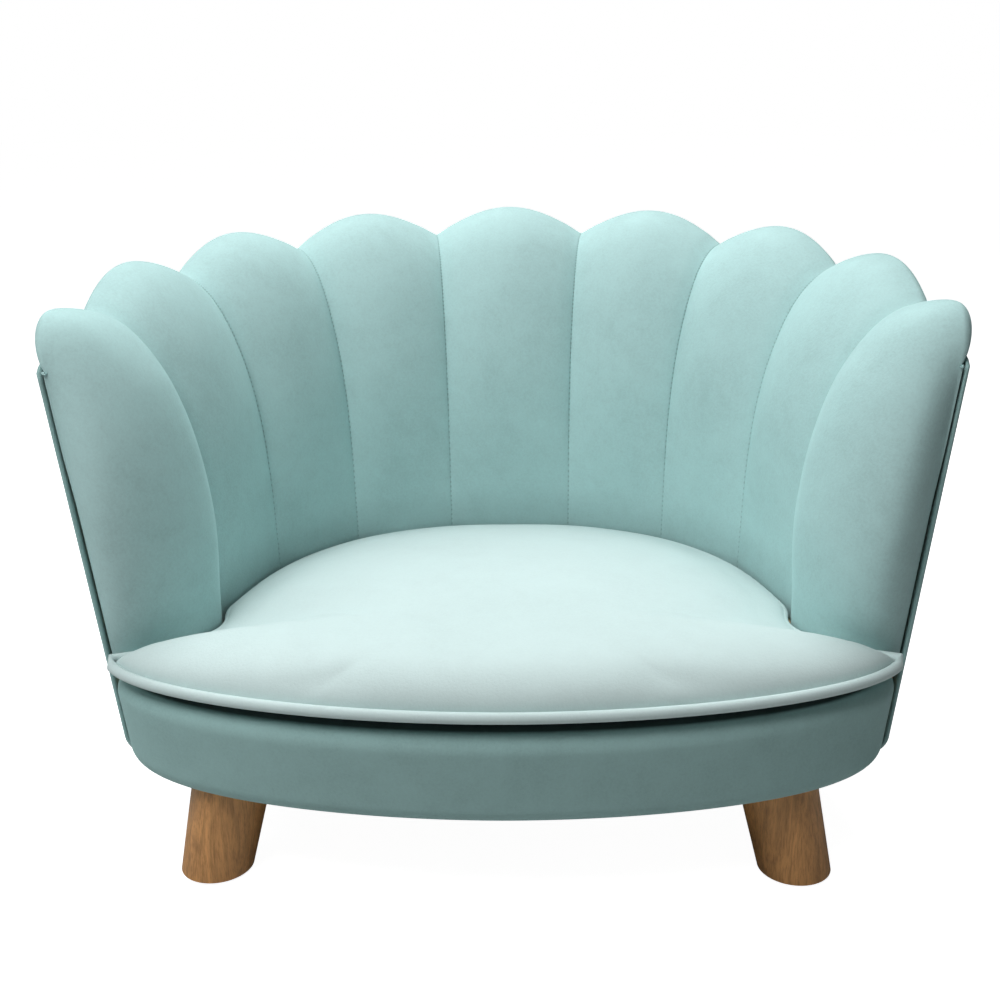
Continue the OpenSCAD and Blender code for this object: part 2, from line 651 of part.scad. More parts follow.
// The slider rests by the left stop
slider_x = -zip_len / 2 + stop_len + 1 + slider_len / 2;
module zip_slider() {
    low = coil_z - coil_d / 2 - zip_clear - slider_plate;
    high = coil_z + coil_d / 2 + zip_clear;
    color(steel) translate([slider_x - slider_len / 2, zip_y, 0]) {
        translate([0, -slider_w / 2, low]) cube([slider_len, slider_w, slider_plate]);
        translate([0, -slider_w / 2, high]) cube([slider_len, slider_w, slider_plate]);
        translate([slider_len / 3, -wedge_w / 2, low]) cube([slider_len / 3, wedge_w, high - low + slider_plate]);
    }
}

deck_board();
bottom_board();
front_rail();
back_rail();
cross_battens();
back_panel();
band_foam();
band_cover();
outer_cover();
deck_cloth();
dust_cover();
petal_foam(1);  // petal_foam_1
petal_foam(2);  // petal_foam_2
petal_foam(3);  // petal_foam_3
petal_foam(4);  // petal_foam_4
petal_foam(5);  // petal_foam_5
petal_foam(6);  // petal_foam_6
petal_foam(7);  // petal_foam_7
petal_foam(8);  // petal_foam_8
petal_foam(9);  // petal_foam_9
petal_cover();
front_left_leg();
front_right_leg();
rear_left_leg();
rear_right_leg();
leg_bolts();
tee_nuts();
foot_pads();
panel_screws();
deck_screws();
cushion_case();
cushion_foam();
cushion_welt();
zip_tapes();
zip_coil();
zip_stops();
zip_slider();
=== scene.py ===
import bisect
import json
import math

import bmesh
import bpy
from bpy.props import FloatProperty, FloatVectorProperty, PointerProperty
from mathutils import Matrix, Vector


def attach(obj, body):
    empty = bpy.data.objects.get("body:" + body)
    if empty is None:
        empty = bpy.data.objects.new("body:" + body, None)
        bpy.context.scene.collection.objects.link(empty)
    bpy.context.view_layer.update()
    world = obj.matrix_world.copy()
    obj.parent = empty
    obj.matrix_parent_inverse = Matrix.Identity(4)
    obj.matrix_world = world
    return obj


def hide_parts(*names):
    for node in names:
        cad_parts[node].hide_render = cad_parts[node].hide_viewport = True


bl_info = {
    "name": "Dog sofa",
    "version": (1, 0, 0),
    "blender": (4, 5, 0),
    "location": "View3D > Sidebar > Sofa",
    "description": "Builds a padded dog sofa, its velvet and its wooden legs",
    "category": "Object",
}

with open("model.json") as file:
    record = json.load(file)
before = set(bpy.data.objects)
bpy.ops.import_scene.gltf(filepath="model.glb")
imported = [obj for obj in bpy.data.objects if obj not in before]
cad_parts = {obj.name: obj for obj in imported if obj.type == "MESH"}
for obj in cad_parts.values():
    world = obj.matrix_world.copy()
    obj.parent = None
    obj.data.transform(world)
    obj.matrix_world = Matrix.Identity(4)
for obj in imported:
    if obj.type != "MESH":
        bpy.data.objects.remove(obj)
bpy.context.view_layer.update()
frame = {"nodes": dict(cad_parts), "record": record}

MM = 0.001
# Keeps a division from failing at zero
TINY = 1e-9


# Colours are sRGB hex, as picked from a swatch
def linear(colour):
    """A colour in Blender's linear values, from sRGB hex."""
    parts = [int(colour[i:i + 2], 16) / 255 for i in (1, 3, 5)]
    return [c / 12.92 if c <= 0.04045 else ((c + 0.055) / 1.055) ** 2.4 for c in parts]


# The plan: the widest line of the seat, and how far the outline reaches behind and before it
HALF_WIDTH = 280 * MM
BACK_REACH = 339 * MM
FRONT_REACH = 106 * MM
# Powers of the plan's curves: 2 is an ellipse, and more is squarer
BACK_SQUARE = 2.39
FRONT_SQUARE = 1.9

# Levels above the floor: the base, the deck, the seat's seam, and the top's valleys behind and beside
BASE_Z = 73 * MM
DECK_Z = 140.5 * MM
BELT_Z = 153.5 * MM
BACK_H = 400.5 * MM
SIDE_H = 374.5 * MM
# The scallops over the valleys. Their powers: how late the top falls to the wings, how narrow a scallop is
SCALLOP = 21 * MM
WING_SCALLOP_SHARE = 0.65
TOP_FALL_POWER = 0.82
SCALLOP_POWER = 1.3

# How far the wall leans out at the valleys beside and behind the seat, and how far the front band would
LEAN_SIDE = 28 * MM
LEAN_BACK = 41 * MM
LEAN_FRONT = LEAN_SIDE * 1.02
# The wall's thickness from its outside to the petals' foam
WALL_IN = 3.3 * MM
# The petals: how many, how wide, how thick at the seat, the heights where they start and where they lean
# back, and how far round the front of a wing their padding thins and their top falls
PETALS = 9
PETAL_W = 134 * MM
PAD_T = 60 * MM
PAD_FOOT = 137.8 * MM
PAD_SPRING = 196.5 * MM
WING_ROUND = 70 * MM
WING_CORNER = 34 * MM

# The velvet over the base: its thickness, its rounded edges, and its widths under the base and on the deck
COVER_T = 2.2 * MM
BAND_R = 13 * MM
HEM_W = 30 * MM
RETURN_W = 34 * MM

# The cushion: its height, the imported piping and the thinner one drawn, and its gap to the petals
CUSHION_H = 37 * MM
WELT_D = 9 * MM
PIPING_D = 7.6 * MM
SEAT_GAP = 0.8 * MM
# A hair's breadth that keeps touching pieces apart
FIT = 0.3 * MM
SEAM_IN = WELT_D + FIT
EAR_R = 5 * MM

# The widest line of the seat in the shared frame, whose origin is under the middle of the outline
BELT_Y = (FRONT_REACH - BACK_REACH - LEAN_BACK * (BACK_H + SCALLOP - BELT_Z) / (BACK_H - BELT_Z)) / 2

# The slot in the cushion's underside that shows the zip: its middle line, half its size, and how deep it is
ZIP_Y = BELT_Y + BACK_REACH / 2
ZIP_HALF_LEN = HALF_WIDTH - 130 * MM
ZIP_HALF_SLOT = 10 * MM
ZIP_SLOT_EDGE = 0.8 * MM
ZIP_SLOT_DEPTH = 2.9 * MM


def bent(value, power):
    """A power that keeps the sign."""
    return math.copysign(abs(value) ** power, value)


def back_line(t, out, z):
    """A point out from the seat line behind the widest line, t from the rear in radians."""
    s, c = math.sin(t), max(0.0, math.cos(t))
    slope = 2 - 2 / BACK_SQUARE
    n = Vector((bent(s, slope) / HALF_WIDTH, c ** slope / BACK_REACH)).normalized()
    return Vector((HALF_WIDTH * bent(s, 2 / BACK_SQUARE) + out * n.x,
                   BELT_Y + BACK_REACH * c ** (2 / BACK_SQUARE) + out * n.y, z))


def lean(t):
    """How far the wall leans out at the height of the valleys, t from the rear in radians."""
    return LEAN_SIDE + (LEAN_BACK - LEAN_SIDE) * math.cos(t) ** 2


def wall_out(t, z):
    """How far the outside of the wall stands out from the seat line at a height z."""
    return lean(t) * (z - BELT_Z) / (BACK_H - BELT_Z)


def front_line(t, out, z):
    """A point out from the seat line before the widest line, t from the front in radians."""
    return Vector(((HALF_WIDTH + out) * bent(math.sin(t), 2 / FRONT_SQUARE),
                   BELT_Y - (FRONT_REACH + out) * max(0.0, math.cos(t)) ** (2 / FRONT_SQUARE), z))


def front_out(t, z):
    """How far the front band stands out from the seat line at a height z, t from the front in radians."""
    return (LEAN_SIDE + (LEAN_FRONT - LEAN_SIDE) * math.cos(t) ** 2) * (z - BELT_Z) / (BACK_H - BELT_Z)


def top_arc(steps=360):
    """Lengths along the top edge from the rear, with the angle at each."""
    rows = [(0.0, 0.0)]
    length = 0.0
    last = back_line(0, lean(0), 0)
    for i in range(1, steps + 1):
        t = math.pi / 2 * i / steps
        point = back_line(t, lean(t), 0)
        length += (point - last).length
        rows.append((length, t))
        last = point
    return rows


ARC = top_arc()
ARC_LEN = ARC[-1][0]


def angle_at(s):
    """The angle at a length s along the top edge from the rear."""
    a = min(abs(s), ARC_LEN)
    low, high = 0, len(ARC) - 1
    while high - low > 1:
        mid = (low + high) // 2
        if ARC[mid][0] <= a:
            low = mid
        else:
            high = mid
    share = (a - ARC[low][0]) / (ARC[high][0] - ARC[low][0])
    return math.copysign(ARC[low][1] + share * (ARC[high][1] - ARC[low][1]), s)


def seam_at(k):
    """Length along the top edge to the seam after petal k."""
    if k == 0:
        return -ARC_LEN
    return ARC_LEN if k == PETALS else (k - PETALS / 2) * PETAL_W


def on_wing(s):
    """Whether a length along the top edge is on the petal at the front of a wing."""
    return abs(s) > seam_at(PETALS - 1)


def rounding(s, power):
    """0 at a seam and 1 in the middle of a petal. The lower the power, the fuller the petal."""
    x = (abs(s) / PETAL_W + 0.5) % 1
    return max(0.0, 1 - (2 * x - 1) ** 2) ** power


def top_h(s):
    """Height of the scalloped top at a length s."""
    fall = (1 - math.cos(angle_at(s))) ** TOP_FALL_POWER
    rise = SCALLOP * rounding(s, SCALLOP_POWER) * (WING_SCALLOP_SHARE if on_wing(s) else 1)
    return BACK_H - (BACK_H - SIDE_H) * fall + rise - corner_drop(s)


def corner_drop(s):
    """How far the top falls round the corner at the front of each wing."""
    g = max(0.0, 1 - (ARC_LEN - abs(s)) / WING_CORNER)
    return WING_CORNER * (1 - math.sqrt(max(0.0, 1 - g * g)))


# How far the petals' velvet still comes down outside the wall at the corners of the wings
CORNER_TURN = 0.4 * MM


def turned_over(length, s):
    """How far the petals' velvet comes down outside the wall: length, but next to nothing at the corners."""
    g = max(0.0, 1 - (ARC_LEN - abs(s)) / WING_CORNER)
    return CORNER_TURN + (length - CORNER_TURN) * math.sqrt(max(0.0, 1 - g * g))


def wing_share(s):
    """Share of the full padding, which thins round the front edge of a wing."""
    q = min(1.0, max(0.0, (ARC_LEN - abs(s)) / WING_ROUND))
    return math.sqrt(1 - (1 - q) ** 2)


def eased(value):
    """From 0 to 1 with a level start and end."""
    return math.sin(math.pi / 2 * min(1.0, max(0.0, value))) ** 2


# The swell of a petal's face, as shares of its puff and of the climb from its foot to its top line: the
# swell at the foot, and the climb at which it is full
FOOT_SHARE = 0.2
FULL_SHARE = 0.45
WING_FOOT_SHARE = 0.55
WING_FULL_SHARE = 0.3
# How much a full swell lifts the seams beside it, where it starts to fade, and how much fades by the top
SEAM_LIFT_SHARE = 0.58
FADE_START_SHARE = 0.6
FADE_SHARE = 0.65
# Powers of the swell across a petal: the lower, the fuller
FACE_POWER = 0.8
WING_FACE_POWER = 0.55


def petal_bulge(pad, s, climb):
    """How far a petal's face stands before its plain curve: climb is 0 at the foot and 1 at the top line. The
    seams are the same from both sides, and the petals at the wings are plump down to the seat."""
    growth = FOOT_SHARE + (1 - FOOT_SHARE) * eased(climb / FULL_SHARE)
    seam = pad.puff * growth * (SEAM_LIFT_SHARE * growth - 1)
    if on_wing(s):
        plump = pad.wing_puff * (WING_FOOT_SHARE + (1 - WING_FOOT_SHARE) * eased(climb / WING_FULL_SHARE))
        face = plump * rounding(s, WING_FACE_POWER)
    else:
        face = pad.puff * growth * rounding(s, FACE_POWER)
    fade = max(0.0, climb - FADE_START_SHARE) / (1 - FADE_START_SHARE)
    return (seam + face) * (1 - FADE_SHARE * fade)


# Meshes

def grid_piece(name, steps_u, steps_v, place):
    """An object of a grid whose points place(u, v) puts, with u and v from 0 to 1. place gives a point and
    its place on the flat cloth, which becomes the piece's UV map in metres."""
    bm = bmesh.new()
    bmesh.ops.create_grid(bm, x_segments=steps_u, y_segments=steps_v, size=0.5)
    flat = {}
    for v in bm.verts:
        point, cloth = place(v.co.x + 0.5, v.co.y + 0.5)
        flat[v] = cloth
        v.co = point
    uv = bm.loops.layers.uv.new("Cloth")
    for face in bm.faces:
        for loop in face.loops:
            loop[uv].uv = flat[loop.vert]
    return finished(name, bm)


def finished(name, bm):
    """The object of a bmesh, shaded smooth, which frees the bmesh."""
    mesh = bpy.data.meshes.new(name)
    bm.to_mesh(mesh)
    bm.free()
    mesh.shade_smooth()
    obj = bpy.data.objects.new(name, mesh)
    bpy.context.scene.collection.objects.link(obj)
    return obj


def thicken(obj, thickness):
    """Gives a sheet its thickness, inwards from its face."""
    wall = obj.modifiers.new("Cloth thickness", "SOLIDIFY")
    wall.thickness = thickness
    wall.offset = -1


def smooth(obj, levels=1):
    """Rounds a mesh by subdivision."""
    sub = obj.modifiers.new("Smooth", "SUBSURF")
    sub.levels = sub.render_levels = levels


def padding(obj, pinned, pressure, cap, frames=18, passes=40):
    """Blows a cover out against its seams by cloth simulation, lets no point move further than cap, and keeps
    the result as the mesh. The foam under the velvet keeps it free of small creases, so each move is averaged
    with its neighbours' moves in a number of passes."""
    rest = [v.co.copy() for v in obj.data.vertices]
    sewn = obj.vertex_groups.new(name="sewn")
    sewn.add(pinned, 1.0, "REPLACE")
    cloth = obj.modifiers.new("Padding", "CLOTH")
    values = cloth.settings
    values.quality = 6
    values.mass = 0.3
    values.tension_stiffness = values.compression_stiffness = 12
    values.shear_stiffness = 6
    values.bending_stiffness = 1.5
    values.vertex_group_mass = "sewn"
    values.use_pressure = True
    values.uniform_pressure_force = pressure
    values.effector_weights.gravity = 0
    cloth.point_cache.frame_start = 1
    cloth.point_cache.frame_end = frames
    for number in range(1, frames + 1):
        bpy.context.scene.frame_set(number)
    shaped = obj.evaluated_get(bpy.context.evaluated_depsgraph_get()).to_mesh()
    moved = [v.co.copy() for v in shaped.vertices]
    obj.modifiers.remove(cloth)
    obj.vertex_groups.remove(sewn)
    steps = [end - start for start, end in zip(rest, moved)]
    steps = [step * min(1.0, cap / max(step.length, TINY)) for step in steps]
    near = [[i] for i in range(len(rest))]
    for edge in obj.data.edges:
        a, b = edge.vertices
        near[a].append(b)
        near[b].append(a)
    for _ in range(passes):
        steps = [sum((steps[j] for j in group), Vector()) / len(group) for group in near]
    held = set(pinned)
    for i, vert in enumerate(obj.data.vertices):
        if i not in held:
            vert.co = rest[i] + steps[i]
    bpy.context.scene.frame_set(1)


def ready(obj, body, material):
    """Gives a piece its finish and the body it rides on."""
    obj.data.materials.clear()
    obj.data.materials.append(material)
    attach(obj, body)


# Materials

def add_node(tree, kind, links=(), **settings):
    """Adds a node. A setting names an attribute or an input, with _ for a space, and links are (input, output
    socket) pairs. A mix of colours has its two colours at inputs 6 and 7, and its result at output 2."""
    node = tree.nodes.new("ShaderNode" + kind)
    for key, value in settings.items():
        if hasattr(node, key):
            setattr(node, key, value)
        else:
            node.inputs[key.replace("_", " ")].default_value = value
    for key, socket in links:
        tree.links.new(socket, node.inputs[key])
    return node


def new_material(name):
    """An empty material and its node tree."""
    mat = bpy.data.materials.new(name)
    mat.use_nodes = True
    tree = mat.node_tree
    tree.nodes.clear()
    return mat, tree


def finish_material(tree, shader):
    """Joins a shader to the material's surface."""
    add_node(tree, "OutputMaterial", links=[("Surface", shader.outputs["BSDF"])])


def ramp(tree, factor, stops, interpolation="LINEAR"):
    """A colour ramp of (place, linear colour) stops."""
    node = add_node(tree, "ValToRGB", links=[("Fac", factor)])
    node.color_ramp.interpolation = interpolation
    elements = node.color_ramp.elements
    while len(elements) < len(stops):
        elements.new(0.5)
    for element, (place, colour) in zip(elements, stops):
        element.position = place
        element.color = (*colour, 1)
    return node


def shade(colour, factor):
    """A linear colour made darker or lighter."""
    return [min(1.0, c * factor) for c in colour]


# The thread along the petals' seams: its pitch, a stitch's own length, and its reach from the seam
STITCH_PITCH = 4 * MM
STITCH_LEN = 1.6 * MM
STITCH_REACH = 0.9 * MM
# The painted shade at the foot of the petals, where the cushion meets them: where it starts and ends along
# the cloth map, and how dark it is
FOOT_SHADE_START = 12 * MM
FOOT_SHADE_END = 50 * MM
FOOT_SHADE = 0.8
# Painted shade on the velvet that is tucked away under the cushion: how softly it darkens, and how dark it is
UNDER_SHADE_SOFT = 7 * MM
UNDER_SHADE = 0.12


def velvet(name, colour, nap=0.1, stitched_and_foot_shaded=False, painted_shade_at=None):
    """Polyester velvet, woven with a cut pile: soft patches where the pile leans another way, a pale sheen at
    the edges, and no gloss. nap is how far the patches differ. The seamed petals also get painted shade at
    their foot, next to the cushion, and the last argument is where the cloth map goes dark with painted
    shade, under the cushion."""
    mat, tree = new_material(name)
    place = add_node(tree, "TexCoord").outputs["Object"]
    # Patches of leaning pile, 60 mm and 12 mm wide, and the pile itself, drawn at 2 mm so that it shows
    broad = add_node(tree, "TexNoise", links=[("Vector", place)], Scale=16, Detail=3, Roughness=0.6,
                     Distortion=0.6).outputs["Fac"]
    patches = add_node(tree, "TexNoise", links=[("Vector", place)], Scale=85, Detail=4,
                       Roughness=0.65).outputs["Fac"]
    pile = add_node(tree, "TexNoise", links=[("Vector", place)], Scale=520, Detail=3,
                    Roughness=0.75).outputs["Fac"]
    mixed = mixed_values(tree, mixed_values(tree, broad, patches, 0.35), pile, 0.42)
    stops = [(0.36, shade(colour, 1 - nap)), (0.5, colour), (0.64, shade(colour, 1 + 0.7 * nap))]
    colour_out = ramp(tree, mixed, stops).outputs["Color"]
    height = mixed_values(tree, patches, pile, 0.75)
    bump = add_node(tree, "Bump", links=[("Height", height)], Strength=0.45, Distance=0.6 * MM)
    if stitched_and_foot_shaded:
        colour_out, bump = stitch_marks(tree, colour_out, bump, colour)
        # Painted shade at the petals' foot, next to the cushion
        colour_out = painted_shade_along_map(tree, colour_out, FOOT_SHADE_START, FOOT_SHADE_END, FOOT_SHADE, 1)
    # Painted shade on the band's velvet that lies on the deck under the cushion
    if painted_shade_at:
        colour_out = painted_shade_along_map(tree, colour_out, painted_shade_at - UNDER_SHADE_SOFT, painted_shade_at, 1, UNDER_SHADE)
    shader = add_node(tree, "BsdfPrincipled",
                      links=[("Base Color", colour_out), ("Normal", bump.outputs["Normal"])],
                      Roughness=0.85, Specular_IOR_Level=0.2,
                      Sheen_Weight=0.2, Sheen_Roughness=0.4, Sheen_Tint=(*shade(colour, 1.5), 1))
    finish_material(tree, shader)
    return mat


def mixed_values(tree, first, second, factor):
    """The second value by a share of factor, and the first by the rest."""
    node = add_node(tree, "Mix", data_type="FLOAT", links=[("A", first), ("B", second)], Factor=factor)
    return node.outputs["Result"]


def stitch_marks(tree, colour_out, bump, colour):
    """Small dents of thread along each sewn channel, from the piece's own cloth map."""
    cloth = add_node(tree, "UVMap", uv_map="Cloth")
    parts = add_node(tree, "SeparateXYZ", links=[("Vector", cloth.outputs["UV"])])
    beat = add_node(tree, "Math", operation="PINGPONG", links=[(0, parts.outputs["Y"])])
    beat.inputs[1].default_value = STITCH_PITCH / 2
    along = add_node(tree, "Math", operation="LESS_THAN", links=[(0, beat.outputs["Value"])])
    along.inputs[1].default_value = STITCH_LEN / 2
    near = add_node(tree, "Math", operation="LESS_THAN", links=[(0, parts.outputs["X"])])
    near.inputs[1].default_value = STITCH_REACH
    dent = add_node(tree, "Math", operation="MULTIPLY",
                    links=[(0, along.outputs["Value"]), (1, near.outputs["Value"])])
    dark = add_node(tree, "Mix", data_type="RGBA", links=[("Factor", dent.outputs["Value"]), (6, colour_out)])
    dark.inputs[7].default_value = (*shade(colour, 0.8), 1)
    deep = add_node(tree, "Bump", invert=True, Strength=0.6, Distance=0.6 * MM,
                    links=[("Height", dent.outputs["Value"]), ("Normal", bump.outputs["Normal"])])
    return dark.outputs[2], deep


def painted_shade_along_map(tree, colour_out, start, end, first, last):
    """Painted shade along the cloth map, next to and under the cushion: times first at start, last at end."""
    cloth = add_node(tree, "UVMap", uv_map="Cloth")
    along = add_node(tree, "SeparateXYZ", links=[("Vector", cloth.outputs["UV"])])
    inside = add_node(tree, "MapRange", links=[("Value", along.outputs["Y"])],
                      interpolation_type="SMOOTHSTEP",
                      From_Min=start, From_Max=end, To_Min=first, To_Max=last)
    dark = add_node(tree, "Mix", data_type="RGBA", blend_type="MULTIPLY", Factor=1,
                    links=[(6, colour_out), (7, inside.outputs["Result"])])
    return dark.outputs[2]


def leg_wood(name, colour):
    """Oiled rubberwood, turned on a lathe: straight brown grain along the leg, with darker pores."""
    mat, tree = new_material(name)
    place = add_node(tree, "TexCoord").outputs["Object"]
    # Growth bands about 9 mm wide, drawn out along the leg
    long_way = add_node(tree, "Mapping", links=[("Vector", place)])
    long_way.inputs["Scale"].default_value = (1, 1, 0.09)
    bands = add_node(tree, "TexNoise", links=[("Vector", long_way.outputs["Vector"])], Scale=110, Detail=5,
                     Roughness=0.6, Distortion=1.4)
    pores = add_node(tree, "TexNoise", links=[("Vector", long_way.outputs["Vector"])], Scale=900, Detail=3,
                     Roughness=0.7)
    tone = ramp(tree, bands.outputs["Fac"],
                [(0.25, shade(colour, 0.6)), (0.5, colour), (0.75, shade(colour, 1.35))])
    dots = ramp(tree, pores.outputs["Fac"], [(0.35, (0.55, 0.5, 0.45)), (0.55, (1, 1, 1))])
    mixed = add_node(tree, "Mix", data_type="RGBA", blend_type="MULTIPLY", Factor=0.6,
                     links=[(6, tone.outputs["Color"]), (7, dots.outputs["Color"])])
    bump = add_node(tree, "Bump", links=[("Height", pores.outputs["Fac"])], Strength=0.15, Distance=0.3 * MM)
    shader = add_node(tree, "BsdfPrincipled", Roughness=0.5,
                      links=[("Base Color", mixed.outputs[2]), ("Normal", bump.outputs["Normal"])])
    finish_material(tree, shader)
    return mat


def grained(name, colour, scale, contrast, roughness, metallic=0.0, stretch=(1, 1, 1)):
    """A plain finish with a grain: scale is the number of grains in a metre, and stretch draws them out."""
    mat, tree = new_material(name)
    place = add_node(tree, "TexCoord").outputs["Object"]
    drawn = add_node(tree, "Mapping", links=[("Vector", place)])
    drawn.inputs["Scale"].default_value = stretch
    grain = add_node(tree, "TexNoise", links=[("Vector", drawn.outputs["Vector"])], Scale=scale, Detail=4,
                     Roughness=0.6)
    tone = ramp(tree, grain.outputs["Fac"],
                [(0.3, shade(colour, 1 - contrast)), (0.7, shade(colour, 1 + contrast))])
    bump = add_node(tree, "Bump", links=[("Height", grain.outputs["Fac"])], Strength=0.2, Distance=0.3 * MM)
    shader = add_node(tree, "BsdfPrincipled", Roughness=roughness, Metallic=metallic,
                      links=[("Base Color", tone.outputs["Color"]), ("Normal", bump.outputs["Normal"])])
    finish_material(tree, shader)
    return mat


# Settings

def size(name, description, default, low, high):
    """A length of the sofa that can be set in the panel."""
    return FloatProperty(name=name, description=description, default=default, min=low, max=high,
                         unit="LENGTH", subtype="DISTANCE", precision=4)


def colour(name, description, default):
    """A colour of the sofa that can be set in the panel."""
    return FloatVectorProperty(name=name, description=description, default=linear(default),
                               min=0, max=1, size=3, subtype="COLOR")


class SofaPadding(bpy.types.PropertyGroup):
    """How soft the padded pieces look."""
    puff: size("Puff", "How far a petal swells between its seams, halfway up", 13 * MM, 0, 24 * MM)
    wing_puff: size("Wing puff", "How far the petal at the front of each wing swells", 22 * MM, 0, 32 * MM)
    nose_puff: size("Nose puff", "How far the front of each wing swells forwards", 25 * MM, 0, 30 * MM)
    crest: size("Crest", "How far inside the wall the top line of the petals lies", 3 * MM, 0, 20 * MM)
    turn_over: size("Turn-over", "How far the petals' velvet comes down outside", 30 * MM, 20 * MM, 50 * MM)
    overhang: size("Overhang", "How far the roll over the top stands out from the wall", 5 * MM, 0, 10 * MM)
    nose: size("Nose", "How far inside the wall the front edge of each wing starts", 3 * MM, 0, 10 * MM)


class SofaColours(bpy.types.PropertyGroup):
    """The colours of the velvet and the wood."""
    back: colour("Petals", "Velvet of the petals", "#b3d5d4")
    cushion: colour("Cushion", "Velvet of the cushion", "#cbdedd")
    base: colour("Base", "Velvet of the base and the outside of the back", "#9cbfbd")
    wood: colour("Legs", "Wood of the legs", "#cf985e")


# The stage

# Each lamp's name, place, width and power in watts. All of them aim at the middle of the seat.
LAMPS = (
    ("Overhead softbox", (0.0, 0.05, 1.7), 1.1, 6),
    ("Left softbox", (-1.3, -0.3, 1.4), 0.9, 6),
    ("High front softbox", (-0.6, -0.9, 1.9), 0.9, 20.5),
    ("Rear softbox", (0.0, 1.0, 1.6), 0.9, 16),
)
LAMP_AIM = (0, 0, 0.2)
# The floor's half width, its grey, and its glow to the camera, which sees it as white
FLOOR_HALF = 12
FLOOR_GREY = 0.6
FLOOR_GLOW = 0.97
# The world's light on the object. The camera sees the world as white.
WORLD_FILL = 0.05
# The camera: its place, its turn, rise and roll in degrees, and its lens and sensor in millimetres
CAMERA_PLACE = (0.02546, -0.94958, 0.52997)
CAMERA_YAW = 1.8
CAMERA_RISE = 18.16
CAMERA_ROLL = -0.85
CAMERA_LENS = 45.92
CAMERA_SENSOR = 36


class SOFA_OT_stage(bpy.types.Operator):
    """Sets up the floor, the lamps and the camera"""
    bl_idname = "sofa.stage"
    bl_label = "Stage"

    def execute(self, context):
        scene = context.scene
        scene.view_settings.view_transform = "Standard"
        self.floor()
        self.world(scene)
        for name, place, width, power in LAMPS:
            self.lamp(name, place, width, power)
        self.camera(scene)
        return {"FINISHED"}

    def floor(self):
        """Paper that is brighter to the camera than to the object, with its shadows kept."""
        mat, tree = new_material("Matt white paper")
        seen = add_node(tree, "LightPath").outputs["Is Camera Ray"]
        paper = add_node(tree, "BsdfDiffuse", Color=(FLOOR_GREY, FLOOR_GREY, FLOOR_GREY, 1))
        strength = add_node(tree, "MapRange", links=[("Value", seen)], To_Min=0, To_Max=FLOOR_GLOW)
        glow = add_node(tree, "Emission", Color=(1, 1, 1, 1),
                        links=[("Strength", strength.outputs["Result"])])
        both = add_node(tree, "AddShader", links=[(0, paper.outputs["BSDF"]), (1, glow.outputs["Emission"])])
        add_node(tree, "OutputMaterial", links=[("Surface", both.outputs["Shader"])])
        bm = bmesh.new()
        bmesh.ops.create_grid(bm, x_segments=1, y_segments=1, size=FLOOR_HALF)
        floor = finished("Floor", bm)
        floor.data.materials.append(mat)

    def world(self, scene):
        """A white world that hardly lights the object."""
        world = bpy.data.worlds.new("White studio")
        world.use_nodes = True
        tree = world.node_tree
        tree.nodes.clear()
        seen = add_node(tree, "LightPath").outputs["Is Camera Ray"]
        strength = add_node(tree, "MapRange", links=[("Value", seen)], To_Min=WORLD_FILL, To_Max=1)
        light = add_node(tree, "Background", Color=(1, 1, 1, 1),
                         links=[("Strength", strength.outputs["Result"])])
        add_node(tree, "OutputWorld", links=[("Surface", light.outputs["Background"])])
        scene.world = world

    def lamp(self, name, place, width, power):
        """A square softbox that aims at the seat."""
        data = bpy.data.lights.new(name, "AREA")
        data.shape = "SQUARE"
        data.size = width
        data.energy = power
        lamp = bpy.data.objects.new(name, data)
        lamp.location = place
        lamp.rotation_euler = (Vector(LAMP_AIM) - Vector(place)).to_track_quat("-Z", "Y").to_euler()
        bpy.context.scene.collection.objects.link(lamp)

    def camera(self, scene):
        """The camera, a little to the right of the middle and above the object."""
        yaw, rise, roll = (math.radians(turn) for turn in (CAMERA_YAW, CAMERA_RISE, CAMERA_ROLL))
        back = Vector((math.sin(yaw) * math.cos(rise), -math.cos(yaw) * math.cos(rise), math.sin(rise)))
        side = (-back).cross(Vector((0, 0, 1))).normalized()
        up = side.cross(-back)
        across = side * math.cos(roll) + up * math.sin(roll)
        upright = up * math.cos(roll) - side * math.sin(roll)
        data = bpy.data.cameras.new("Camera")
        data.sensor_width = CAMERA_SENSOR
        data.lens = CAMERA_LENS
        camera = bpy.data.objects.new("Camera", data)
        turned = Matrix((across, upright, back)).transposed().to_4x4()
        camera.matrix_world = Matrix.Translation(Vector(CAMERA_PLACE)) @ turned
        scene.collection.objects.link(camera)
        scene.camera = camera


# Pieces

# A petal's velvet from its foot at 0 to its end outside the back at 1: where the face starts to lean
# back, and where it meets the top line. From there to its end, the share at which it has rolled over and
# turns under.
SPRING_SHARE = 0.13
CREST_SHARE = 0.74
UNDER_SHARE = 0.55
PETAL_RUN = 420 * MM
PETAL_T = 1.6 * MM
# Powers of the face's curve, where 2 is an ellipse, and of the way its swell ends at the top
FACE_SQUARE = 2.1
SWELL_END_POWER = 0.5
# The share of the swell that goes on over the top, and how far outside the foam the velvet ends
ROLL_SWELL_SHARE = 0.4
FLAP_OUT = 1.7 * MM
# A petal's mesh: its steps across and up, and how much closer they lie at its seams
PETAL_STEPS = 40
PETAL_RUN_STEPS = 84
SEAM_CLOSE_SHARE = 0.8
# The petal at the front of a wing: the share of its steps before its velvet turns round the front edge,
# and the power that puts the swell of that edge forward
WING_WRAP_SHARE = 0.86
NOSE_POWER = 0.8
# Low down that edge stays behind the wall's own edge. It closes on it from a depth below the top, over a
# run. The gap is what it leaves to the wall, and the share is how far its end tucks in at the corner.
WRAP_BACK = 4 * MM
WRAP_CLOSE_START = 110 * MM
WRAP_CLOSE_RUN = 60 * MM
WRAP_GAP = 1 * MM
WRAP_TUCK_SHARE = 0.8


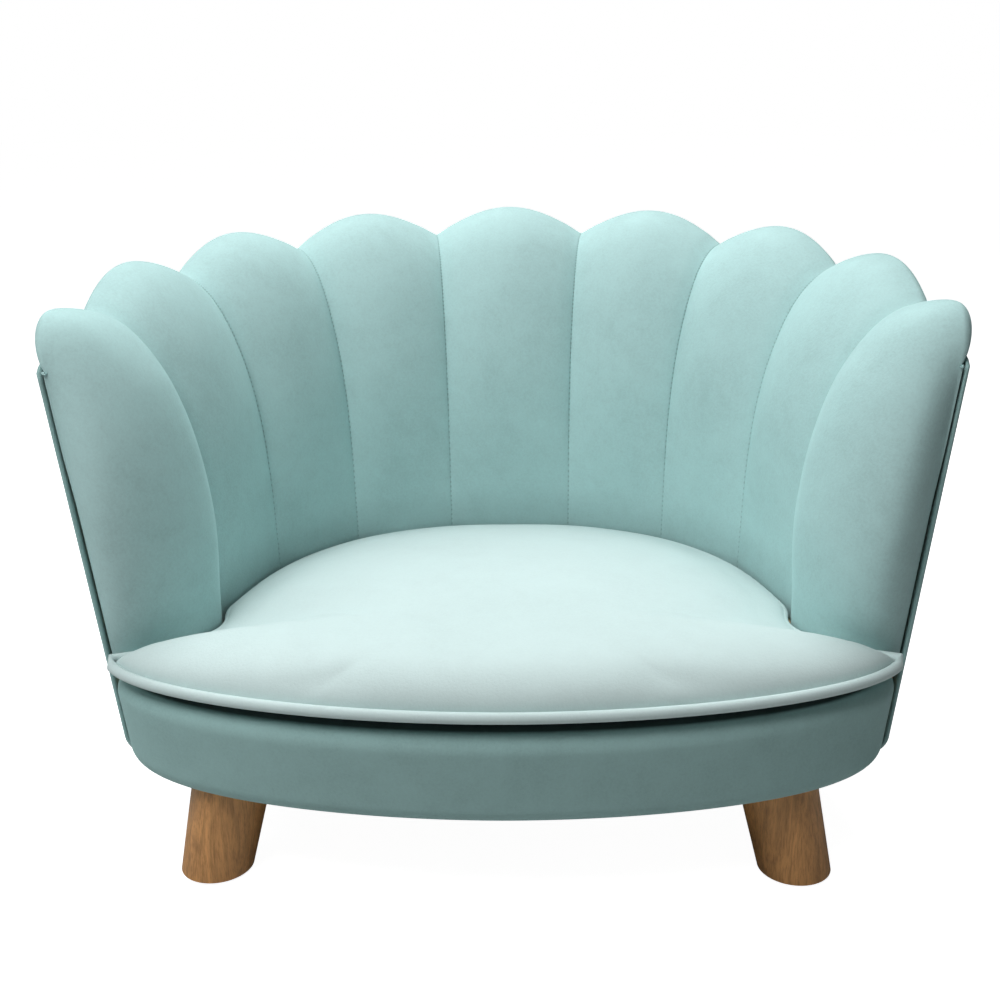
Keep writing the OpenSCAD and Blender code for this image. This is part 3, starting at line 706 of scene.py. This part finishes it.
class SOFA_OT_petals(bpy.types.Operator):
    """Makes the nine padded petals of the back, sewn side by side"""
    bl_idname = "sofa.petals"
    bl_label = "Petals"

    def execute(self, context):
        pad = context.scene.sofa_padding
        # The petals' velvet has its seam stitches and painted shade at its foot
        mat = velvet("Petal velvet", context.scene.sofa_colours.back, stitched_and_foot_shaded=True)
        for k in range(1, PETALS + 1):
            petal = grid_piece(f"petal_{k}", PETAL_STEPS, PETAL_RUN_STEPS,
                               lambda u, v: self.point(pad, k, u, v))
            smooth(petal)
            thicken(petal, PETAL_T)
            ready(petal, "sofa", mat)
            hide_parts(f"petal_foam_{k}", "petal_cover")
        return {"FINISHED"}

    def point(self, pad, k, u, v):
        """u runs from a petal's left seam to its right one, and v from its foot up over the top. The left
        wing is the right one mirrored."""
        if k == 1:
            point, cloth = self.point(pad, PETALS, 1 - u, v)
            return Vector((-point.x, point.y, point.z)), cloth
        wing = k == PETALS
        wrap = 0.0
        if wing:
            wrap = max(0.0, (u - WING_WRAP_SHARE) / (1 - WING_WRAP_SHARE))
            u = min(1.0, u / WING_WRAP_SHARE)
        first, last = seam_at(k - 1), seam_at(k)
        close = 0.5 - 0.5 * math.cos(math.pi * u)
        s = first + (last - first) * (SEAM_CLOSE_SHARE * close + (1 - SEAM_CLOSE_SHARE) * u)
        edge = s - first if wing else min(s - first, last - s)
        t, top = angle_at(s), top_h(s)
        share = wing_share(s)
        bulge = petal_bulge(pad, s, min(1.0, v / CREST_SHARE))
        over = max(0.0, v - CREST_SHARE) / (1 - CREST_SHARE)
        if over:
            z, full = self.rolled(pad, t, top, bulge, turned_over(pad.turn_over, s), over)
        else:
            z, full = self.face(pad, t, top, bulge, v)
        nose = wall_out(t, z) - WALL_IN - pad.nose
        out = nose - (nose - full) * share
        forward = 0
        if wing and not over:
            # The front of a wing is stuffed fullest halfway up
            climb = min(1.0, (z - PAD_FOOT) / (top - PAD_FOOT))
            forward = pad.nose_puff * math.sin(math.pi * share ** NOSE_POWER) * math.sin(math.pi * climb)
        if wrap:
            turn = math.pi / 2 * wrap
            closed = eased((z - top + WRAP_CLOSE_START) / WRAP_CLOSE_RUN)
            t = angle_at(s - WRAP_BACK * (1 - math.cos(turn)) * (1 - closed))
            out += (pad.nose - WRAP_GAP) * math.sin(turn) * (1 - WRAP_TUCK_SHARE * over)
        return back_line(t, out, z) - Vector((0, forward, 0)), (edge, v * PETAL_RUN)

    def face(self, pad, t, top, bulge, v):
        """Height of a petal's face, and its place out from the seat line with the full padding behind it."""
        if v <= SPRING_SHARE:
            return PAD_FOOT + (PAD_SPRING - PAD_FOOT) * v / SPRING_SHARE, -PAD_T - bulge
        crest = wall_out(t, top) - WALL_IN - pad.crest
        angle = math.pi / 2 * (v - SPRING_SHARE) / (CREST_SHARE - SPRING_SHARE)
        c, n = max(0.0, math.cos(angle)), math.sin(angle)
        z = PAD_SPRING + (top - PAD_SPRING) * n ** (2 / FACE_SQUARE) + min(0.0, bulge) * n
        return z, crest - (crest + PAD_T) * c ** (2 / FACE_SQUARE) - bulge * c ** SWELL_END_POWER

    def rolled(self, pad, t, top, bulge, length, over):
        """The same for the velvet that rolls over the top line, comes down outside the wall by a length, and
        turns under to the edge of the outer cover."""
        angle = math.pi / 2 * (1 + min(1.0, over / UNDER_SHARE))
        under = max(0.0, over - UNDER_SHARE) / (1 - UNDER_SHARE)
        drop = UNDER_SHARE * length
        c, n = math.cos(angle), math.sin(angle)
        z = top - drop * (1 - n) - under * (length - drop) + min(0.0, bulge) * n
        crest = wall_out(t, top) - WALL_IN - pad.crest
        full = crest - (pad.crest + WALL_IN + pad.overhang) * c + bulge * ROLL_SWELL_SHARE * c ** 2
        full += wall_out(t, z) - wall_out(t, top)
        return z, full - (WALL_IN + pad.overhang - FLAP_OUT) * (1 - math.cos(math.pi / 2 * under))


# The outer cover's velvet from its hem under the base at 0 to its top at 1: where its rounded edge starts
# and ends. Its top lies a little above the end of the petals' velvet.
COVER_HEM_SHARE = 0.1
COVER_EDGE_SHARE = 0.25
COVER_LAP = 0.8 * MM
COVER_STEPS = 220
COVER_RISE_STEPS = 48


def hem_and_edge(v, hem, edge):
    """How far inside its outside face the base's velvet lies, and its height, from under the base at 0
    through the end of the hem to the end of the rounded edge."""
    if v < hem:
        return BAND_R + HEM_W * (1 - v / hem), BASE_Z
    angle = math.pi / 2 * (v - hem) / (edge - hem)
    return BAND_R * (1 - math.sin(angle)), BASE_Z + BAND_R * (1 - math.cos(angle))


class SOFA_OT_outer_cover(bpy.types.Operator):
    """Makes the velvet cover outside the back, from its hem under the base up to the petals"""
    bl_idname = "sofa.outer_cover"
    bl_label = "Outer cover"

    def execute(self, context):
        mat = velvet("Base velvet", context.scene.sofa_colours.base)
        cover = grid_piece("outer_velvet", COVER_STEPS, COVER_RISE_STEPS, self.point)
        thicken(cover, COVER_T)
        ready(cover, "sofa", mat)
        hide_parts("outer_cover")
        return {"FINISHED"}

    def point(self, u, v):
        """u runs from right to left, so that the faces point outwards, and v from the hem up."""
        s = ARC_LEN * (1 - 2 * u)
        t = angle_at(s)
        if v < COVER_EDGE_SHARE:
            depth, z = hem_and_edge(v, COVER_HEM_SHARE, COVER_EDGE_SHARE)
        else:
            top = top_h(s) - turned_over(bpy.context.scene.sofa_padding.turn_over, s) + COVER_LAP
            low = BASE_Z + BAND_R
            depth, z = 0, low + (top - low) * (v - COVER_EDGE_SHARE) / (1 - COVER_EDGE_SHARE)
        return back_line(t, wall_out(t, z) - depth, z), (s, z)


# The band's velvet from its hem under the base at 0 to its end on the deck at 1: where its lower rounded
# edge starts and ends, and where its upper one does. Its ends go in behind the outer cover.
BAND_SECTION = 150 * MM
BAND_HEM_SHARE = 0.12
BAND_EDGE_SHARE = 0.32
BAND_FACE_SHARE = 0.62
BAND_TOP_SHARE = 0.82
BAND_END_IN = 6 * MM
BAND_END_POWER = 10
BAND_STEPS = 120
BAND_SECTION_STEPS = 56


class SOFA_OT_band(bpy.types.Operator):
    """Makes the padded velvet band round the front of the base"""
    bl_idname = "sofa.band"
    bl_label = "Front band"

    def execute(self, context):
        # The band's velvet on the deck, under the cushion, is painted in shade
        mat = velvet("Band velvet", context.scene.sofa_colours.base, painted_shade_at=BAND_TOP_SHARE * BAND_SECTION)
        band = grid_piece("front_band", BAND_STEPS, BAND_SECTION_STEPS, self.point)
        thicken(band, COVER_T)
        ready(band, "sofa", mat)
        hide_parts("band_cover", "band_foam")
        return {"FINISHED"}

    def point(self, u, v):
        """u runs from left to right, and v from the hem over the face to the end on the deck."""
        t = math.pi * (u - 0.5)
        if v < BAND_EDGE_SHARE:
            depth, z = hem_and_edge(v, BAND_HEM_SHARE, BAND_EDGE_SHARE)
        elif v < BAND_FACE_SHARE:
            climb = (v - BAND_EDGE_SHARE) / (BAND_FACE_SHARE - BAND_EDGE_SHARE)
            depth, z = 0, BASE_Z + BAND_R + (DECK_Z - BASE_Z - 2 * BAND_R) * climb
        elif v < BAND_TOP_SHARE:
            angle = math.pi / 2 * (v - BAND_FACE_SHARE) / (BAND_TOP_SHARE - BAND_FACE_SHARE)
            depth, z = BAND_R * (1 - math.cos(angle)), DECK_Z - BAND_R * (1 - math.sin(angle))
        else:
            depth, z = BAND_R + RETURN_W * (v - BAND_TOP_SHARE) / (1 - BAND_TOP_SHARE), DECK_Z
        tucked = BAND_END_IN * abs(math.sin(t)) ** BAND_END_POWER
        return front_line(t, front_out(t, z) - depth - tucked, z), (HALF_WIDTH * t, v * BAND_SECTION)


# The cushion's centre behind the widest line, and how far behind its ears its seam's corners are softened
CENTRE_BACK = FRONT_REACH / 4
EAR_END = 6 * EAR_R
# How far up the petals' faces the cushion presses on them, as a share of the climb
SEAT_CLIMB_SHARE = 0.03


class SeatOutline:
    """The cushion's seam seen from above, as its reach at each angle round the cushion's centre. The wings'
    petals press it in."""
    # Steps of half the outline, of its front, and of its back, which are closer at the wings by a power
    steps = 480
    front_steps = 160
    back_steps = 199
    back_power = 1.6
    # Turns round the ear, in radians, and the steps over which a corner between two pads is softened
    ear_turns = (0.0, 0.3, 0.6, 0.9, 1.2)
    soft_steps = 6

    def __init__(self, pad):
        self.centre = Vector((0, BELT_Y + CENTRE_BACK))
        ear = Vector((HALF_WIDTH - SEAM_IN - EAR_R, BELT_Y - SEAT_GAP - SEAM_IN - EAR_R))
        half = []
        for i in range(self.front_steps):
            p = front_line(math.pi / 2 * i / self.front_steps, -SEAM_IN, 0)
            if p.y < ear.y - EAR_R / 2:
                half.append(Vector((p.x, p.y)))
        half += [ear + EAR_R * Vector((math.cos(a), math.sin(a))) for a in self.ear_turns]
        shares = [(i / self.back_steps) ** self.back_power for i in range(self.back_steps + 1)]
        foot = [self.pad_foot(pad, ARC_LEN * (1 - share)) for share in shares]
        for i in range(1, len(foot)):
            way = (foot[min(i + 1, len(foot) - 1)] - foot[i - 1]).normalized()
            p = foot[i] + (SEAT_GAP + SEAM_IN) * Vector((-way.y, way.x))
            if p.x < HALF_WIDTH - SEAM_IN - EAR_R:
                half.append(p)
        rows = sorted((math.atan2(p.x, -(p.y - self.centre.y)), (p - self.centre).length) for p in half)
        even = [self.between(rows, math.pi * i / self.steps) for i in range(self.steps + 1)]
        # The piping can't follow a sharp corner between two pads
        first = int(self.steps * math.atan2(ear.x, -(ear.y + EAR_END - self.centre.y)) / math.pi)
        self.rows = even[:first]
        for i in range(first, self.steps + 1):
            wide = min(self.soft_steps, i - first)
            near = [even[self.steps - abs(self.steps - j)] for j in range(i - wide, i + wide + 1)]
            self.rows.append(sum(near) / len(near))

    def pad_foot(self, pad, s):
        """A point of the pads' inner line at the seat, at a length s along the top edge."""
        t = angle_at(s)
        wall = wall_out(t, PAD_FOOT) - WALL_IN
        pressed = max(0.0, petal_bulge(pad, s, SEAT_CLIMB_SHARE))
        p = back_line(t, wall - (wall + PAD_T + pressed) * wing_share(s), 0)
        return Vector((p.x, p.y))

    def between(self, rows, angle):
        """The reach at an angle, from sorted rows of an angle and a reach."""
        i = min(len(rows) - 1, max(1, bisect.bisect_right(rows, (angle,))))
        (low, near), (high, far) = rows[i - 1], rows[i]
        share = min(1.0, max(0.0, (angle - low) / max(TINY, high - low)))
        return near + share * (far - near)

    def reach(self, angle):
        """Reach of the seam at an angle from the front, in radians."""
        place = abs(angle) / math.pi * self.steps
        i = min(self.steps - 1, int(place))
        return self.rows[i] + (place - i) * (self.rows[i + 1] - self.rows[i])

    def point(self, angle, share):
        """A point at a share of the way from the cushion's centre to its seam, level."""
        way = Vector((math.sin(angle), -math.cos(angle)))
        far = self.reach(angle)
        depth = FRONT_REACH + CENTRE_BACK if way.y < 0 else BACK_REACH - PAD_T - CENTRE_BACK
        oval = 1 / Vector((way.x / (HALF_WIDTH - PAD_T), way.y / depth)).length
        return self.centre + way * share * (oval + (far - oval) * share * share)


# The gap under the cushion's piping behind, and the power that keeps the seam high in front
SEAM_GAP = 0.6 * MM
SEAM_DROP_POWER = 1.3


def seam_z(y):
    """Height of the cushion's seam, which drops from the front to the ears and the pads."""
    drop = BELT_Z - DECK_Z - WELT_D / 2 - SEAM_GAP
    share = min(1.0, max(0.0, (y - BELT_Y + FRONT_REACH) / (2 * FRONT_REACH)))
    return BELT_Z - drop * share ** SEAM_DROP_POWER


# The cushion's mesh: its steps, the power that puts them closer at the seam, and what joins its halves
CUSHION_STEPS = 96
CUSHION_STEP_POWER = 1.6
WELD = 0.01 * MM
# Its velvet is blown up by a simulation, in which the seam and everything below it hold
BLOW_PRESSURE = 3
BLOW_CAP = 3 * MM
HOLD_OVER_SEAM = 0.1 * MM
# Where the form of its front changes to the form behind the ears, along the seam
BEHIND_START = BELT_Y - 21 * MM
BEHIND_RUN = 10 * MM
# The rounding under its seam, in front and behind, and its power
UNDER_ROUND = (26 * MM, 16 * MM)
UNDER_POWER = 0.7
# Powers of its crown, in front and behind: how far out it stays full, and how steeply it then falls
CROWN_FULL_POWER = (7, 3.2)
CROWN_FALL_POWER = (0.45, 0.77)
# Behind the ears it bulges over its piping, up to a share of the crown, but not at the tips of the ears
BULGE = 8.6 * MM
BULGE_SHARE = 0.36
BULGE_POWER = 0.6
TIP_START = 259 * MM
TIP_RUN = 11 * MM
# Below this height the cushion's points are on its flat underside
UNDER_TOP = DECK_Z + 1 * MM
# The piping's mesh, round the seam and round its own line
PIPING_STEPS = 260
PIPING_SIDES = 14


def blend(ends, share):
    """From the first of two values to the second."""
    return ends[0] + (ends[1] - ends[0]) * share


class SOFA_OT_cushion(bpy.types.Operator):
    """Makes the loose seat cushion with its crowned top, and the piping round its seam"""
    bl_idname = "sofa.cushion"
    bl_label = "Seat cushion"

    def execute(self, context):
        mat = velvet("Cushion velvet", context.scene.sofa_colours.cushion, nap=0.04)
        seat = SeatOutline(context.scene.sofa_padding)
        bm = bmesh.new()
        for side in (1, -1):
            grid = bmesh.ops.create_grid(bm, x_segments=CUSHION_STEPS, y_segments=CUSHION_STEPS, size=1)
            made = grid["verts"]
            for v in made:
                v.co = self.point(seat, v.co.x, v.co.y, side)
            if side < 0:
                bmesh.ops.reverse_faces(bm, faces=list({f for v in made for f in v.link_faces}))
        bmesh.ops.remove_doubles(bm, verts=bm.verts, dist=WELD)
        self.zip_slot(bm)
        cushion = finished("cushion_velvet", bm)
        low = [v.index for v in cushion.data.vertices if v.co.z < seam_z(v.co.y) + HOLD_OVER_SEAM]
        padding(cushion, low, BLOW_PRESSURE, BLOW_CAP)
        smooth(cushion)
        ready(cushion, "cushion", mat)
        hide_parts("cushion_case", "cushion_foam")
        self.piping(seat, mat)
        return {"FINISHED"}

    def point(self, seat, a, b, side):
        """A point of the top or the underside, where side is 1 or -1, for a place in the square from -1 to 1
        that wraps round it."""
        share = max(abs(a), abs(b))
        if share < TINY:
            return Vector((*seat.centre, DECK_Z + (CUSHION_H if side > 0 else FIT)))
        angle = math.atan2(a, -b)
        seam = seat.point(angle, 1)
        far = (seam - seat.centre).length
        edge = seam_z(seam.y)
        behind = min(1.0, max(0.0, (seam.y - BEHIND_START) / BEHIND_RUN))
        behind = behind * behind * (3 - 2 * behind)
        share = 1 - (1 - share) ** CUSHION_STEP_POWER
        flat = seat.point(angle, share)
        if side < 0:
            inside = min(1.0, (1 - share) * far / blend(UNDER_ROUND, behind))
            return Vector((*flat, edge - (edge - DECK_Z - FIT) * inside ** UNDER_POWER))
        height = (1 - share ** blend(CROWN_FULL_POWER, behind)) ** blend(CROWN_FALL_POWER, behind)
        tip = min(1.0, max(0.0, (abs(seam.x) - TIP_START) / TIP_RUN))
        bulge = BULGE * behind * (1 - tip) * math.sin(math.pi * min(1.0, height / BULGE_SHARE) ** BULGE_POWER)
        flat += (seam - seat.centre) / far * bulge
        return Vector((*flat, edge + (DECK_Z + CUSHION_H - edge) * height))

    def zip_slot(self, bm):
        """Turns the velvet in along the zip, so that its tapes, coils and slider show underneath."""
        along, across = Vector((1, 0, 0)), Vector((0, 1, 0))
        for way, middle, half in ((along, 0, ZIP_HALF_LEN), (across, ZIP_Y, ZIP_HALF_SLOT)):
            for out in (-half - ZIP_SLOT_EDGE, -half, half, half + ZIP_SLOT_EDGE):
                under = [v for v in bm.verts if v.co.z < UNDER_TOP]
                flat = set(under)
                edges = [e for e in bm.edges if flat.issuperset(e.verts)]
                faces = [f for f in bm.faces if flat.issuperset(f.verts)]
                bmesh.ops.bisect_plane(bm, geom=under + edges + faces, dist=WELD / 10,
                                       plane_co=way * (middle + out), plane_no=way)
        for v in bm.verts:
            inside = abs(v.co.x) < ZIP_HALF_LEN + WELD and abs(v.co.y - ZIP_Y) < ZIP_HALF_SLOT + WELD
            if v.co.z < UNDER_TOP and inside:
                v.co.z = DECK_Z + ZIP_SLOT_DEPTH

    def piping(self, seat, mat):
        """Makes the piping round the cushion's seam."""
        line = [seat.point(math.pi * (2 * i / PIPING_STEPS - 1), 1) for i in range(PIPING_STEPS)]
        bm = bmesh.new()
        rings = []
        for i, p in enumerate(line):
            way = (line[(i + 1) % PIPING_STEPS] - line[i - 1]).normalized()
            out = Vector((way.y, -way.x, 0))
            centre = Vector((*p, seam_z(p.y) + (WELT_D - PIPING_D) / 2)) + out * (PIPING_D / 2 + FIT)
            turn = Matrix((out, (0, 0, 1), (*(-way), 0))).transposed().to_4x4()
            made = bmesh.ops.create_circle(bm, segments=PIPING_SIDES, radius=PIPING_D / 2,
                                           matrix=Matrix.Translation(centre) @ turn)
            rings.append([e for v in made["verts"] for e in v.link_edges])
        for a, b in zip(rings, rings[1:] + rings[:1]):
            bmesh.ops.bridge_loops(bm, edges=list(set(a) | set(b)))
        bmesh.ops.recalc_face_normals(bm, faces=bm.faces)
        welt = finished("cushion_piping", bm)
        ready(welt, "cushion", mat)
        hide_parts("cushion_welt")


class SOFA_OT_finishes(bpy.types.Operator):
    """Gives the wooden, metal and lining pieces their finishes"""
    bl_idname = "sofa.finishes"
    bl_label = "Wood, metal and lining"

    def execute(self, context):
        wood = leg_wood("Oiled rubberwood", context.scene.sofa_colours.wood)
        ply = grained("Raw birch plywood", linear("#d9b98a"), scale=220, contrast=0.15, roughness=0.7,
                      stretch=(0.08, 1, 1))
        zinc = grained("Zinc-plated steel", linear("#b4b8bb"), scale=600, contrast=0.08, roughness=0.35,
                       metallic=1.0)
        felt = grained("Wool felt", linear("#4b4b4b"), scale=900, contrast=0.3, roughness=0.95)
        lining = grained("Black lining cloth", linear("#26292a"), scale=1200, contrast=0.3, roughness=0.9)
        nylon = grained("Nylon zip coil", linear("#333838"), scale=900, contrast=0.1, roughness=0.5)
        slots = {"leg_wood": wood, "plywood": ply, "pine": ply, "zinc_steel": zinc, "felt": felt,
                 "black_cloth": lining, "zip_plastic": nylon}
        for part in frame["record"]["subparts"]:
            if part["material_slot"] in slots:
                node = frame["nodes"][part["node"]]
                node.data.materials.clear()
                node.data.materials.append(slots[part["material_slot"]])
        return {"FINISHED"}


class SOFA_PT_panel(bpy.types.Panel):
    """Lists the sofa's settings and pieces"""
    bl_label = "Sofa"
    bl_space_type = "VIEW_3D"
    bl_region_type = "UI"
    bl_category = "Sofa"

    def draw(self, context):
        for group in (context.scene.sofa_padding, context.scene.sofa_colours):
            for name in group.__annotations__:
                self.layout.prop(group, name)
        for operator in OPERATORS:
            self.layout.operator(operator.bl_idname)


OPERATORS = (SOFA_OT_stage, SOFA_OT_petals, SOFA_OT_outer_cover, SOFA_OT_band, SOFA_OT_cushion,
             SOFA_OT_finishes)
CLASSES = (SofaPadding, SofaColours, *OPERATORS, SOFA_PT_panel)


def register():
    for cls in CLASSES:
        bpy.utils.register_class(cls)
    bpy.types.Scene.sofa_padding = PointerProperty(type=SofaPadding)
    bpy.types.Scene.sofa_colours = PointerProperty(type=SofaColours)


def unregister():
    del bpy.types.Scene.sofa_padding
    del bpy.types.Scene.sofa_colours
    for cls in reversed(CLASSES):
        bpy.utils.unregister_class(cls)


def main():
    register()
    for operator in OPERATORS:
        group, name = operator.bl_idname.split(".")
        getattr(getattr(bpy.ops, group), name)()


if __name__ == "__main__":
    main()
